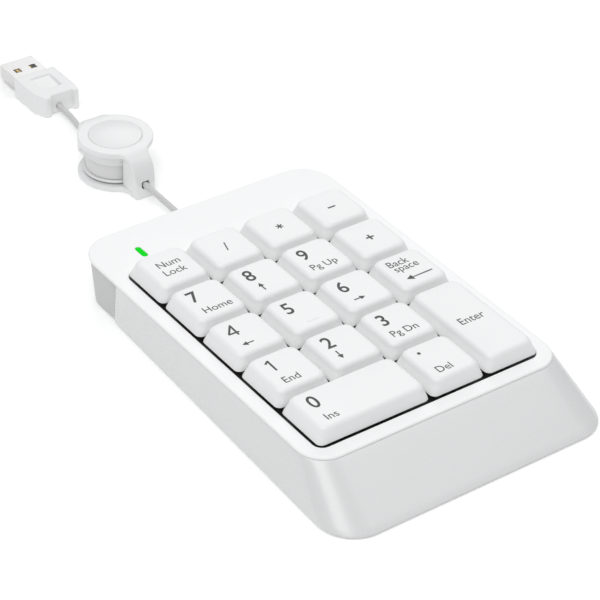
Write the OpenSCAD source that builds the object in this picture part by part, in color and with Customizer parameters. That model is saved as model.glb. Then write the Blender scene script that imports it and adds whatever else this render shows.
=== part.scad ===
// Slim numeric keypad with a short cable, a two-way cable reel and a USB plug.
// Millimetres. The origin is on the desk under the middle of the keypad.
// +X is to the right, +Y away from the user towards the cable, +Z up.

/* [Keys] */
// Centre distance between neighbouring keys
key_pitch = 19.05; // [16:0.05:23]
// Gap between the skirts of neighbouring keys
key_gap = 0.85; // [0.6:0.05:1.2]
// Height of the key tops above the top plate
key_rise = 5; // [4:0.1:6]
// How far a key sinks when pressed
key_travel = 2.8; // [2.2:0.1:2.9]
// How far the key top is set in from the skirt, left and right
key_inset_x = 2.5; // [2:0.1:3]
// How far the key top is set in from the skirt, front and rear
key_inset_y = 2; // [1.6:0.1:3]
// Wall thickness of a key cap
key_wall = 1.2; // [1:0.1:1.4]
// Radius of a key's stem
stem_r = 3; // [2.5:0.1:3.6]
// Radial running clearance of a stem in its barrel
stem_clearance = 0.05; // [0.02:0.01:0.1]

/* [Housing] */
// Height of the top plate's upper face above the desk
plate_top = 13.8; // [13.8:0.1:16.6]
// Thickness of the top plate
plate_t = 1.6; // [1.3:0.1:2]
// Plate left of the keys, and the same right of them
side_border = 4.9; // [4.5:0.1:8]
// Plate in front of the keys
front_border = 5; // [4.95:0.05:7]
// Plate behind the keys
rear_deck = 20.35; // [20:0.05:26]
// Gap between the keys and the edge of their opening
opening_gap = 0.45; // [0.3:0.05:0.8]
// How far the sloping apron reaches out in front of the plate
apron_run = 18.65; // [15:0.05:22]
// How far the skirt flares out at its front corners
front_flare = 4.2; // [3:0.1:5.5]
// How far the skirt flares out at the rear
rear_flare = 0.2; // [0:0.1:0.6]
// Length of the bare rear end that the skirt leaves open
rear_end = 22.35; // [20:0.05:25]
// Wall thickness of the skirt
skirt_wall = 1.6; // [1.3:0.1:2]
// Wall thickness of the lower housing
tray_wall = 1.5; // [1.2:0.1:1.8]
// Floor thickness of the lower housing
floor_t = 1.6; // [1.6:0.1:1.9]
// Height of the rubber feet below the housing
foot_h = 0.6; // [0.4:0.1:0.7]
// Radius of a rubber foot
foot_r = 5; // [4:0.1:6]

/* [Cable and reel] */
// Diameter of the round lead
lead_d = 2; // [1.6:0.1:2.2]
// Radius of the reel's round covers
reel_r = 12; // [11.9:0.1:14.4]
// Height of the reel
reel_h = 14; // [13.5:0.1:16.8]
// Half the width of the reel's necks
neck_half = 3.7; // [3:0.1:4.4]
// Half the length of the reel over its necks
reel_half_l = 18; // [17.6:0.1:21]

/* [Plug] */
// Width of the plug's grip
grip_w = 15; // [13.5:0.1:18]
// Length of the plug's grip
grip_l = 17.3; // [16:0.1:20.8]
// Height of the plug's grip
grip_h = 7.4; // [6.6:0.1:8.9]

/* [Hidden] */
$fn = 48;
eps = 0.01;
hull_fn = 32;
white = "white";
pale_grey = "gainsboro";
steel = "silver";

// name, column and row of its first cell, width and height in cells
KEYS = [
    ["key_num_lock", 0, 0, 1, 1], ["key_divide", 1, 0, 1, 1],
    ["key_multiply", 2, 0, 1, 1], ["key_minus", 3, 0, 1, 1],
    ["key_7", 0, 1, 1, 1], ["key_8", 1, 1, 1, 1],
    ["key_9", 2, 1, 1, 1], ["key_plus", 3, 1, 1, 1],
    ["key_4", 0, 2, 1, 1], ["key_5", 1, 2, 1, 1],
    ["key_6", 2, 2, 1, 1], ["key_backspace", 3, 2, 1, 1],
    ["key_1", 0, 3, 1, 1], ["key_2", 1, 3, 1, 1],
    ["key_3", 2, 3, 1, 1], ["key_enter", 3, 3, 1, 2],
    ["key_0", 0, 4, 2, 1], ["key_decimal", 2, 4, 1, 1],
];

// plan of the plate and of the key field
columns = 4;
rows = 5;
field_w = columns * key_pitch - key_gap;
field_d = rows * key_pitch - key_gap;
opening_w = field_w + 2 * opening_gap;
opening_d = field_d + 2 * opening_gap;
opening_r = 3;
plate_w = opening_w + 2 * side_border;
plate_d = front_border + opening_d + rear_deck;
body_d = plate_d + apron_run;
front_y = -body_d / 2;
rear_y = body_d / 2;
plate_front_y = front_y + apron_run;
field_y = plate_front_y + front_border + opening_d / 2;
skirt_end_y = rear_y - rear_end;
plate_front_r = 8.5;
plate_rear_r = 11;
plate_bevel = 0.5;

// heights of the stack, from the floor up
body_bottom = foot_h;
plate_under = plate_top - plate_t;
lip_t = 0.6;
lip_z = plate_top - lip_t;
floor_top = body_bottom + floor_t;
rib_h = 0.8;
sheet_steel = 0.4;
film_t = 0.1;
rubber_t = 0.4;
steel_z = floor_top + rib_h;
film_z = steel_z + sheet_steel;
rubber_z = film_z + 3 * film_t;
dome_h = 2.9;
dome_z = rubber_z + rubber_t;
dome_top = dome_z + dome_h;
stem_bottom = dome_top + 0.1;
frame_z = stem_bottom + 0.5;
frame_t = 1.4;
frame_top = frame_z + frame_t;
barrel_h = 5;
barrel_r = stem_r + 1.6;
skirt_lift = 0.2;

function mix(a, b, t) = a + (b - a) * t;
function rise(z) = (z - body_bottom) / (lip_z - body_bottom);
function key_x(k) = (k[1] + k[3] / 2 - columns / 2) * key_pitch;
function key_y(k) = field_y + (rows / 2 - k[2] - k[4] / 2) * key_pitch;
function key_half_x(k) = (k[3] * key_pitch - key_gap) / 2;
function key_half_y(k) = (k[4] * key_pitch - key_gap) / 2;

// four thin discs at one height, for a hull with rounded upright corners
module corner_discs(z, x0, x1, y0, y1, r_front, r_rear, h = eps) {
    for (side = [-1, 1]) {
        x = side < 0 ? x0 : x1;
        translate([x - side * r_front, y0 + r_front, z])
            cylinder(r = r_front, h = h, $fn = hull_fn);
        translate([x - side * r_rear, y1 - r_rear, z])
            cylinder(r = r_rear, h = h, $fn = hull_fn);
    }
}

// an upright block with true round corners
module round_block(w, d, h, r) {
    translate([-w / 2, -d / 2 + r, 0]) cube([w, d - 2 * r, h]);
    translate([-w / 2 + r, -d / 2, 0]) cube([w - 2 * r, d, h]);
    for (sx = [-1, 1], sy = [-1, 1])
        translate([sx * (w / 2 - r), sy * (d / 2 - r), 0]) cylinder(r = r, h = h);
}

// places that the screws share
front_post = [plate_w / 2 - 9, plate_front_y + 2.2];
rear_post = [plate_w / 2 - 7, rear_y - 9.65];
post_r = 3.9;
post_top = 5;
case_screw_r = 1.2;
screw_head_r = 3;
screw_head_t = 2.1;
screw_seat_z = 3.4;
screw_gap = 0.05;
module at_case_screws() {
    for (side = [-1, 1], p = [front_post, rear_post])
        translate([side * p[0], p[1], 0]) children();
}
stack_screw_r = 0.8;
module at_stack_screws()
    for (p = [[-1, 1.5], [1, 1.5], [0, 0.5], [-1, -0.5], [1, -0.5], [0, -1.5]])
        translate([p[0] * key_pitch, field_y + p[1] * key_pitch, 0]) children();

// --- housing ---

module plate_outline(z, inset, h = eps)
    corner_discs(z, -plate_w / 2 + inset, plate_w / 2 - inset, plate_front_y + inset,
        rear_y - inset, plate_front_r - inset, plate_rear_r - inset, h);
// the part of the plate that lies inside the skirt, below the plate's rim
plate_tuck = 2.2;
plate_nose = 0.4;
plate_tail = 2.9;
module plate_slab(z, front)
    corner_discs(z, -plate_w / 2 + plate_tuck, plate_w / 2 - plate_tuck, plate_front_y + front,
        rear_y - plate_tail, plate_front_r - plate_tuck, plate_rear_r - plate_tuck);

led_slot = [1.7, 5.3];
led_x = -27.9;
led_y = rear_y - 13.05;
boss_front_r = 1.9;
boss_rear_r = 3;
opening_rib = 1;

module top_plate() color(white) {
    difference() {
        union() {
            hull() {
                plate_slab(plate_under, plate_nose);
                plate_slab(lip_z, plate_tuck);
            }
            hull() {
                plate_outline(lip_z, 0);
                plate_outline(plate_top - plate_bevel, 0);
                plate_outline(plate_top - eps, plate_bevel);
            }
            translate([0, field_y, frame_top])
                round_block(opening_w + 2 * opening_rib, opening_d + 2 * opening_rib,
                    plate_under - frame_top + eps, opening_r + opening_rib);
            for (side = [-1, 1]) {
                translate([side * front_post[0], front_post[1], post_top])
                    cylinder(r = boss_front_r, h = plate_under - post_top + eps);
                translate([side * rear_post[0], rear_post[1], post_top])
                    cylinder(r = boss_rear_r, h = plate_under - post_top + eps);
            }
        }
        translate([0, field_y, post_top])
            round_block(opening_w, opening_d, plate_top, opening_r);
        translate([led_x, led_y, 0])
            light_pipe_section(fit_gap, plate_top + 1);
        at_case_screws() translate([0, 0, post_top - 1])
            cylinder(r = case_screw_r + screw_gap, h = plate_under - post_top);
    }
}

// the sloping shell between two heights, set in by a wall
module skirt_loft(inset, z0, z1)
    hull() for (z = [z0, z1]) {
        t = rise(z);
        corner_pair(z, mix(plate_w / 2 + front_flare, plate_w / 2, t) - inset,
            mix(front_y, plate_front_y, t) + inset, mix(11.5, plate_front_r, t) - inset, 1);
        corner_pair(z, mix(plate_w / 2 + rear_flare, plate_w / 2, t) - inset,
            rear_y - inset, plate_rear_r - inset, -1);
    }
// a left and a right corner disc, at the front (way 1) or the rear (way -1)
module corner_pair(z, half, y, r, way)
    for (side = [-1, 1])
        translate([side * (half - r), y + way * r, z])
            cylinder(r = r, h = eps, $fn = hull_fn);

module outer_skirt() color(pale_grey)
    difference() {
        skirt_loft(0, body_bottom, lip_z - eps);
        skirt_loft(skirt_wall, body_bottom - 1, lip_z + 1);
        translate([-body_d, skirt_end_y, -1]) cube([2 * body_d, body_d, 2 * plate_top]);
    }

// the tray's front part stands inside the skirt, its rear end lies open
nest_gap = 0.15;
tray_rim = 7;
rear_lean = 5.2;
end_step = 0.5;
module tray_front(inset, z0, z1)
    hull() for (z = [z0, z1]) {
        t = rise(z);
        in = skirt_wall + nest_gap + inset;
        corner_pair(z, mix(plate_w / 2 + front_flare, plate_w / 2, t) - in,
            mix(front_y, plate_front_y, t) + in, mix(11.5, plate_front_r, t) - in, 1);
        corner_pair(z, mix(plate_w / 2 + rear_flare, plate_w / 2, t) - in,
            skirt_end_y + 3 - inset, 2, -1);
    }
module tray_rear(inset, z0, z1)
    hull() for (z = [z0, z1]) {
        t = rise(z);
        half = mix(plate_w / 2 + rear_flare, plate_w / 2, t) - end_step - inset;
        corner_pair(z, half, skirt_end_y + nest_gap + inset, 1, 1);
        corner_pair(z, half, rear_y - rear_lean * (1 - t) - end_step - inset,
            mix(8, plate_rear_r, t) - end_step - inset, -1);
    }
lead_z = 4.4;
grommet_r = 1.9;
grommet_flange_r = 2.6;
grommet_flange_t = 1.4;
grommet_seat_y = rear_y - 7.65;
fit_gap = 0.1;
foot_sink = 0.6;
module at_feet()
    for (side = [-1, 1], y = [front_y + 9.65, skirt_end_y + 2.7])
        translate([side * (plate_w / 2 - 9), y, 0]) children();

board_z = rubber_z;
board_front_y = field_y + opening_d / 2 + 1;
board_depth = 8.3;
board_left = -31.5;
board_right = 14;
clamp_screws = [[-22, 1.8], [-6, 1.8], [11.5, 4.2]];
board_screw_r = 0.8;
module at_board_screws()
    for (p = clamp_screws) translate([p[0], board_front_y + p[1], 0]) children();

module lower_housing() color(pale_grey)
    difference() {
        union() {
            difference() {
                union() {
                    tray_front(0, body_bottom, tray_rim);
                    tray_rear(0, body_bottom, lip_z - eps);
                }
                tray_front(tray_wall, floor_top, plate_top);
                tray_rear(tray_wall, floor_top, plate_top);
                // joins the two spaces behind the key field
                translate([-opening_w / 2 - 1.5, skirt_end_y - 6, floor_top])
                    cube([opening_w + 3, 12, plate_top]);
                // leaves room for the plate's slab
                translate([plate_tuck - plate_w / 2 - nest_gap, skirt_end_y - 1, plate_under - nest_gap])
                    cube([plate_w - 2 * plate_tuck + 2 * nest_gap, 6, plate_t]);
            }
            at_case_screws() translate([0, 0, body_bottom])
                cylinder(r = post_r, h = post_top - body_bottom);
            at_board_screws() translate([0, 0, floor_top - eps])
                cylinder(r = 2, h = board_z - floor_top + eps);
            for (row = [-2:2])
                translate([-field_w / 2 + 3, field_y + row * key_pitch - 0.75, floor_top - eps])
                    cube([field_w - 6, 1.5, rib_h + eps]);
            translate([-4.6, grommet_seat_y, floor_top - eps]) cube([9.2, 2.6, 5.3]);
        }
        at_feet() translate([0, 0, body_bottom - eps])
            cylinder(r = foot_r + fit_gap, h = foot_sink + eps);
        at_case_screws() {
            translate([0, 0, body_bottom - eps])
                cylinder(r = screw_head_r + 0.2, h = screw_seat_z - body_bottom + eps);
            cylinder(r = case_screw_r + 0.4, h = plate_top);
        }
        at_board_screws() translate([0, 0, floor_top])
            cylinder(r = board_screw_r + screw_gap, h = plate_top);
        translate([0, grommet_seat_y - 1, lead_z]) rotate([-90, 0, 0])
            cylinder(r = grommet_r + screw_gap, h = 20);
        translate([0, grommet_seat_y - grommet_flange_t - 1, lead_z]) rotate([-90, 0, 0])
            cylinder(r = grommet_flange_r + fit_gap, h = grommet_flange_t + 1);
    }

module rubber_feet() color("dimgray")
    at_feet() cylinder(r = foot_r, h = foot_h + foot_sink);

module case_screws() color(steel)
    at_case_screws() {
        difference() {
            translate([0, 0, screw_seat_z - screw_head_t])
                cylinder(r = screw_head_r, h = screw_head_t);
            for (turn = [0, 90])
                rotate([0, 0, turn]) translate([-1.7, -0.35, screw_seat_z - screw_head_t - 1])
                    cube([3.4, 0.7, 2]);
        }
        translate([0, 0, screw_seat_z - 0.1]) cylinder(r = case_screw_r, h = 6.2);
    }

// --- keys and what carries them ---

rib_half = 0.6;
rib_reach = 0.9;
collar_h = 0.4;
collar_r = stem_r + 0.6;
key_ceiling = plate_top + key_rise - 1.4;

// the stabiliser's wire: arms turn in the frame's ears, the bar lifts with the key
wire_r = 0.6;
arm_l = 7;
arm_x = 12;
pivot_z = frame_top + 1.4;
bar_rise = key_travel / 2;
bar_clear = 0.5;
bar_off = barrel_r + wire_r + bar_clear;
pivot_off = bar_off - sqrt(arm_l * arm_l - bar_rise * bar_rise);
clip_x = 7;
ear_x = arm_x + wire_r + 0.3;
ear_w = 1.6;
clip_gap = 0.12;

module key_cap(k) {
    hx = key_half_x(k);
    hy = key_half_y(k);
    skirt_z = plate_top + skirt_lift;
    top_z = plate_top + key_rise;
    shoulder = 0.75;
    difference() {
        hull() {
            corner_discs(skirt_z, -hx, hx, -hy, hy, 1.5, 1.5);
            corner_discs(top_z - shoulder, shoulder - hx + key_inset_x - shoulder * 2,
                hx - key_inset_x + shoulder, key_inset_y - shoulder - hy,
                hy - key_inset_y + shoulder, 2, 2);
            corner_discs(top_z - eps, key_inset_x - hx, hx - key_inset_x,
                key_inset_y - hy, hy - key_inset_y, 1.8, 1.8);
        }
        hull() {
            corner_discs(skirt_z - eps, key_wall - hx, hx - key_wall,
                key_wall - hy, hy - key_wall, 0.6, 0.6);
            corner_discs(key_ceiling, key_inset_x + 0.3 - hx, hx - key_inset_x - 0.3,
                key_inset_y + 0.5 - hy, hy - key_inset_y - 0.5, 1, 1);
        }
    }
}

module key_stem() {
    translate([0, 0, stem_bottom]) cylinder(r = stem_r, h = key_ceiling - stem_bottom + 0.2);
    translate([0, 0, stem_bottom]) cylinder(r = collar_r, h = collar_h);
    translate([-rib_half, 0, stem_bottom])
        cube([2 * rib_half, stem_r + rib_reach, key_ceiling - stem_bottom + 0.2]);
}

// two hooks under a wide key that hold the wire's bar
module key_clips() {
    bar_z = pivot_z + bar_rise;
    for (side = [-1, 1])
        translate([side * clip_x - 1, bar_off - 1.6, 0]) difference() {
            translate([0, 0, bar_z - wire_r - 0.9])
                cube([2, 3.2, key_ceiling - bar_z + wire_r + 1.1]);
            translate([-1, 0.7, bar_z - wire_r - clip_gap])
                cube([4, 1.8, 2 * (wire_r + clip_gap)]);
        }
}

module key_piece(k) color(white)
    translate([key_x(k), key_y(k), 0]) {
        key_cap(k);
        key_stem();
        if (k[3] > 1) key_clips();
        if (k[4] > 1) rotate([0, 0, 90]) key_clips();
    }

// runs children at a wide key, turned so that the bar lies along the key
module at_wide_key(name)
    for (k = KEYS)
        if (k[0] == name)
            translate([key_x(k), key_y(k), 0]) rotate([0, 0, k[4] > 1 ? 90 : 0]) children();

module stabiliser_slots() {
    bar_room = 1.2;
    translate([-arm_x - 1, bar_off - bar_room, frame_z - 1])
        cube([2 * arm_x + 2, 2 * bar_room, frame_t + 1 + eps]);
    for (side = [-1, 1]) {
        translate([side * arm_x - 1, pivot_off + 1.5, frame_z - 1])
            cube([2, arm_l - 1, frame_t + 1 + eps]);
        translate([side * clip_x - 1.4, bar_off - 2, frame_z - 1])
            cube([2.8, 4, frame_t + 1 + eps]);
    }
}

module stabiliser_ears()
    for (side = [-1, 1])
        difference() {
            translate([side * (ear_x + ear_w / 2) - ear_w / 2, pivot_off - 1.4, frame_top - eps])
                cube([ear_w, 2.8, 2.8]);
            translate([side * (ear_x + ear_w / 2) - ear_w, pivot_off, pivot_z])
                rotate([0, 90, 0]) cylinder(r = wire_r + stem_clearance, h = 2 * ear_w);
        }

module key_frame() color("dimgray")
    difference() {
        union() {
            translate([-opening_w / 2 - 1, field_y - opening_d / 2 - 0.6, frame_z])
                cube([opening_w + 2, opening_d + 1.6, frame_t]);
            for (k = KEYS) translate([key_x(k), key_y(k), frame_z])
                cylinder(r = barrel_r, h = barrel_h);
            at_stack_screws() translate([0, 0, dome_z])
                cylinder(r = 2.2, h = frame_z - dome_z + eps);
            at_wide_key("key_enter") stabiliser_ears();
            at_wide_key("key_0") stabiliser_ears();
        }
        for (k = KEYS) translate([key_x(k), key_y(k), frame_z - 1]) {
            cylinder(r = stem_r + stem_clearance, h = barrel_h + 2);
            translate([-rib_half - fit_gap, 0, 0])
                cube([2 * (rib_half + fit_gap), stem_r + rib_reach + fit_gap, barrel_h + 2]);
        }
        at_stack_screws() translate([0, 0, dome_z - eps])
            cylinder(r = stack_screw_r + screw_gap, h = frame_z - dome_z);
        at_wide_key("key_enter") stabiliser_slots();
        at_wide_key("key_0") stabiliser_slots();
    }

// a square turn of the wire at corner c, from direction d1 to d2
bend_r = 0.8;
function bend(c, d1, d2) =
    [for (a = [0:30:90]) c + bend_r * (d1 * (sin(a) - 1) + d2 * (1 - cos(a)))];
module stabiliser() color(steel) {
    along = [1, 0, 0];
    arm = [0, bar_off - pivot_off, bar_rise];
    reach = arm / arm_l;
    pin = (ear_x + ear_w) * along;
    translate([0, pivot_off, pivot_z])
        tube(concat([-pin], bend(-arm_x * along, along, reach),
            bend(arm - arm_x * along, reach, along), bend(arm + arm_x * along, along, -reach),
            bend(arm_x * along, -reach, along), [pin]), wire_r, 12);
}
module enter_stabiliser() at_wide_key("key_enter") stabiliser();
module zero_stabiliser() at_wide_key("key_0") stabiliser();

// --- rubber, films and steel under the keys ---

stack_w = field_w - 0.3;
stack_front_y = field_y - opening_d / 2 + 1.4;
stack_rear_y = board_front_y - 1.1;
module stack_sheet(z, t, hole_r)
    difference() {
        translate([-stack_w / 2, stack_front_y, z])
            cube([stack_w, stack_rear_y - stack_front_y, t]);
        at_stack_screws() translate([0, 0, z - 1]) cylinder(r = hole_r, h = t + 2);
    }

dome_base_r = 4.2;
dome_top_r = 2.3;
dome_skin = 0.4;
module dome()
    rotate_extrude()
        polygon([[dome_base_r - dome_skin, 0], [dome_base_r, 0], [dome_top_r, dome_h - 0.7],
            [dome_top_r, dome_h], [0, dome_h], [0, dome_h - 1.9], [1.1, dome_h - 1.9],
            [1.1, dome_h - 1.1], [dome_top_r - dome_skin, dome_h - 1.1]]);

module dome_sheet() color("gainsboro")
    union() {
        difference() {
            stack_sheet(rubber_z, rubber_t, 1);
            for (k = KEYS) translate([key_x(k), key_y(k), rubber_z - 1])
                cylinder(r = dome_base_r - dome_skin, h = 3);
        }
        for (k = KEYS) translate([key_x(k), key_y(k), dome_z - eps]) dome();
    }

tail_x = -18;
tail_w = 8;
module film(layer)
    stack_sheet(film_z + layer * film_t, film_t, 1);
module film_tail(layer)
    translate([tail_x, stack_rear_y - eps, film_z + layer * film_t])
        cube([tail_w, 5, film_t]);
module membrane_top() color("lightsteelblue") union() {
    film(2);
    film_tail(2);
}
module membrane_spacer() color("lightgray")
    difference() {
        film(1);
        for (k = KEYS) translate([key_x(k), key_y(k), film_z])
            cylinder(r = 2.5, h = 1);
    }
module membrane_bottom() color("lightsteelblue") film(0);

module backing_plate() color(steel) stack_sheet(steel_z, sheet_steel, 0.9);

module stack_screws() color(steel)
    at_stack_screws() {
        translate([0, 0, steel_z - 0.6]) cylinder(r = 1.6, h = 0.6);
        translate([0, 0, steel_z - 0.1])
            cylinder(r = stack_screw_r, h = frame_z - steel_z - 0.4);
    }

// --- electronics ---

board_t = 1.2;
board_top = board_z + board_t;
module controller_board() color("seagreen")
    difference() {
        translate([board_left, board_front_y, board_z])
            cube([board_right - board_left, board_depth, board_t]);
        at_board_screws() translate([0, 0, board_z - 1]) cylinder(r = 0.9, h = 4);
    }

module controller_chip() color("black") {
    translate([-19, board_front_y + 4.1, board_top + 0.2]) cube([8, 3.6, 1.4]);
    for (i = [0:5], side = [0, 1])
        translate([-18.4 + i * 1.27, board_front_y + (side > 0 ? 7.65 : 3.55), board_top])
            cube([0.4, 0.6, 0.7]);
}

led_r = 1.5;
module status_led() color("lime")
    translate([led_x, led_y, board_top]) {
        cylinder(r = led_r, h = 1.3);
        translate([0, 0, 1.3]) intersection() {
            sphere(r = led_r);
            cylinder(r = led_r, h = led_r);
        }
    }

// section of the light pipe, grown by a gap
module light_pipe_section(gap, h) {
    w = led_slot[0] + 2 * gap;
    l = led_slot[1] + 2 * gap;
    translate([-w / 2, -(l - w) / 2, 0]) cube([w, l - w, h]);
    for (side = [-1, 1]) translate([0, side * (l - w) / 2, 0]) cylinder(r = w / 2, h = h);
}
pipe_foot = board_top + 1.3 + led_r + 0.25;
module light_pipe() color("lime")
    translate([led_x, led_y, 0]) {
        translate([0, 0, pipe_foot]) light_pipe_section(0, plate_top - pipe_foot);
        translate([-1.5, -3.3, plate_under - 1.4]) cube([3, 6.6, 1.4]);
    }

module tail_clamp() color("dimgray")
    difference() {
        translate([-24.5, board_front_y + 0.3, board_top]) cube([21, 3, 1.4]);
        at_board_screws() cylinder(r = 0.9, h = plate_top);
    }

module board_screws() color(steel)
    for (p = clamp_screws) {
        seat = p[0] < 0 ? board_top + 1.4 : board_top;
        translate([p[0], board_front_y + p[1], seat]) cylinder(r = 1.5, h = 0.8);
        translate([p[0], board_front_y + p[1], floor_top + 0.3])
            cylinder(r = board_screw_r, h = seat - floor_top);
    }

header_x = 0.2;
header_w = 8;
module cable_connector() color("ivory")
    difference() {
        translate([header_x, board_front_y + 2, board_top]) cube([header_w, 4.6, 4]);
        translate([header_x + 0.8, board_front_y + 2.8, board_top + 1])
            cube([header_w - 1.6, 5, 2.2]);
    }

wire_start_y = grommet_seat_y - 2.4;
wire_core_r = 0.35;
// a bend of a wire is a ball slightly fatter than the wire
knuckle = 0.03;
module rod_between(a, b, r) {
    d = b - a;
    translate(a) rotate([0, acos(d[2] / norm(d)), atan2(d[1], d[0])])
        cylinder(r = r, h = norm(d));
}
module lead_wires() color("firebrick")
    for (i = [0:3]) {
        start = [(i - 1.5) * 0.3 + (i % 2) * 0.3 - 0.15, wire_start_y,
            lead_z + (i % 2 > 0 ? 0.45 : -0.45)];
        bend = [header_x + 1.6 + i * 1.6, wire_start_y - 1.7, board_top + 2.1];
        end = [bend[0], board_front_y + 3.2, bend[2]];
        rod_between(start, bend, wire_core_r);
        translate(bend) sphere(r = wire_core_r + knuckle);
        rod_between(bend, end, wire_core_r);
    }

module strain_relief() color(white)
    translate([0, grommet_seat_y, lead_z]) rotate([-90, 0, 0]) difference() {
        union() {
            translate([0, 0, -grommet_flange_t])
                cylinder(r = grommet_flange_r, h = grommet_flange_t);
            cylinder(r = grommet_r, h = 5);
            translate([0, 0, 5]) cylinder(r1 = grommet_r, r2 = 1.4, h = 2.3);
        }
        translate([0, 0, -2]) cylinder(r = lead_d / 2 + screw_gap, h = 12);
    }

// --- leads ---

// where the leads lie, from hole to hole
KEYPAD_ROUTE = [
    [0, 60, 4.4], [0, 64.5, 4.4], [0, 69, 4.4], [0.1, 73.5, 4.2], [0.3, 78, 3.9],
    [0.4, 82.5, 3.8], [0.4, 87, 3.9], [0.2, 91.5, 4.2], [0, 96, 4.5], [0, 100.5, 4.6],
    [0, 105.4, 4.6],
];
PLUG_ROUTE = [
    [3.5, 159.5, 2.6], [3.5, 155.5, 2.6], [3.4, 151.5, 2.5], [3, 147.5, 2.6],
    [2.2, 143.5, 3], [1.1, 139.5, 3.7], [0.3, 136, 4.3], [0, 132, 4.6], [0, 125.6, 4.6],
];
lead_sides = 8;

function unit(v) = v / norm(v);
function heading(p, i) = unit(p[min(i + 1, len(p) - 1)] - p[max(i - 1, 0)]);
function ring(p, i, r, sides) =
    let (t = heading(p, i), across = unit(cross(t, [0, 0, 1])), up = cross(across, t))
    [for (s = [0:sides - 1])
        p[i] + r * (cos(360 * s / sides) * across + sin(360 * s / sides) * up)];

// a faceted round tube that follows a route
module tube(route, r, s) {
    n = len(route);
    polyhedron(
        points = [for (i = [0:n - 1]) each ring(route, i, r, s)],
        faces = concat(
            [[for (j = [0:s - 1]) j]],
            [for (i = [0:n - 2], j = [0:s - 1])
                [i * s + j, (i + 1) * s + j, (i + 1) * s + (j + 1) % s, i * s + (j + 1) % s]],
            [[for (j = [s - 1:-1:0]) (n - 1) * s + j]]));
}
module keypad_lead() color("whitesmoke") tube(KEYPAD_ROUTE, lead_d / 2, lead_sides);
module plug_lead() color("whitesmoke") tube(PLUG_ROUTE, lead_d / 2, lead_sides);

// --- reel ---

reel_y = 115.5;
reel_base_t = 1.6;
reel_roof = 1.8;
neck_fillet = 5;
base_half_l = reel_half_l - 2.5;
cavity_r = reel_r - 1.3;
roof_under = reel_h - reel_roof;
slot_z = 4.6;
slot_w = 2.6;
slot_h = 2.4;
arc_steps = 16;

// one quarter of the reel's plan, from the side of the disc to the tip of the neck
function reel_quarter(r, half, reach) =
    let (fx = half + neck_fillet,
         fy = sqrt(pow(r + neck_fillet, 2) - fx * fx),
         a = atan2(fy, fx))
    concat(
        [for (i = [0:arc_steps]) r * [cos(a * i / arc_steps), sin(a * i / arc_steps)]],
        [for (i = [1:arc_steps / 2])
            let (b = 180 + a * (1 - 2 * i / arc_steps))
            [fx + neck_fillet * cos(b), fy + neck_fillet * sin(b)]],
        [[half, reach - 1], [half - 0.3, reach - 0.3], [half - 1, reach]]);
function flip(list) = [for (i = [len(list) - 1:-1:0]) list[i]];
function reel_plan(r, half, reach) =
    let (q = reel_quarter(r, half, reach),
         upper = concat(q, flip([for (p = q) if (p[0] > 0) [-p[0], p[1]]])),
         rim = [for (p = upper) if (p[1] > eps) p])
    concat([[r, 0]], rim, [[-r, 0]], flip([for (p = rim) [p[0], -p[1]]]));

// side view of the top falling to the desk at each end
function reel_side(reach, h, flat) =
    let (run = reach - flat, e = 2.6,
         fall = [for (i = [0:arc_steps])
            let (u = sin(90 * i / arc_steps))
            [flat + run * u, h * pow(max(0, 1 - pow(u, e)), 1 / e)]])
    concat(fall, flip([for (p = fall) [-p[0], p[1]]]));

module reel_envelope()
    intersection() {
        linear_extrude(reel_h) polygon(reel_plan(reel_r, neck_half, reel_half_l));
        rotate([90, 0, 90]) translate([0, 0, -reel_r - 1])
            linear_extrude(2 * reel_r + 2) polygon(reel_side(reel_half_l, reel_h, 9));
    }

axle_r = 1.5;
cap_r = 8.4;
cap_sink = 0.6;
module reel_upper_shell() color(white)
    translate([0, reel_y, 0]) difference() {
        reel_envelope();
        translate([0, 0, -1]) cylinder(r = cavity_r, h = roof_under + 1);
        for (side = [-1, 1])
            translate([side * (neck_half + reel_r) - reel_r, -reel_half_l - 1, -1])
                cube([2 * reel_r, 2 * reel_half_l + 2, roof_under + 1]);
        translate([-reel_r, -base_half_l - 0.05, -1])
            cube([2 * reel_r, 2 * base_half_l + 0.1, reel_base_t + 1]);
        translate([-2.2, -reel_half_l + 1.6, 2.6]) cube([4.4, 2 * reel_half_l - 3.2, 5]);
        translate([-slot_w / 2, -reel_half_l - 1, slot_z - slot_h / 2])
            cube([slot_w, 2 * reel_half_l + 2, slot_h]);
        translate([0, 0, reel_h - cap_sink]) cylinder(r = cap_r + fit_gap, h = 2);
        translate([0, 0, roof_under - eps]) cylinder(r = axle_r + screw_gap, h = 0.7);
    }

module reel_lower_shell() color(white)
    translate([0, reel_y, 0]) difference() {
        union() {
            intersection() {
                linear_extrude(reel_base_t) polygon(reel_plan(reel_r, neck_half, reel_half_l));
                translate([-reel_r, -base_half_l, 0])
                    cube([2 * reel_r, 2 * base_half_l, reel_base_t]);
            }
            cylinder(r = 3, h = reel_base_t + 0.5);
        }
        translate([0, 0, 0.8]) cylinder(r = axle_r + screw_gap, h = 4);
    }

cap_dome = 1;
cap_ball_r = (cap_r * cap_r + cap_dome * cap_dome) / (2 * cap_dome);
module reel_cap() color(white)
    translate([0, reel_y, reel_h - cap_sink]) {
        cylinder(r = cap_r, h = cap_sink + eps);
        translate([0, 0, cap_sink]) intersection() {
            translate([0, 0, cap_dome - cap_ball_r]) sphere(r = cap_ball_r, $fn = 128);
            cylinder(r = cap_r, h = cap_dome);
        }
    }

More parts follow.
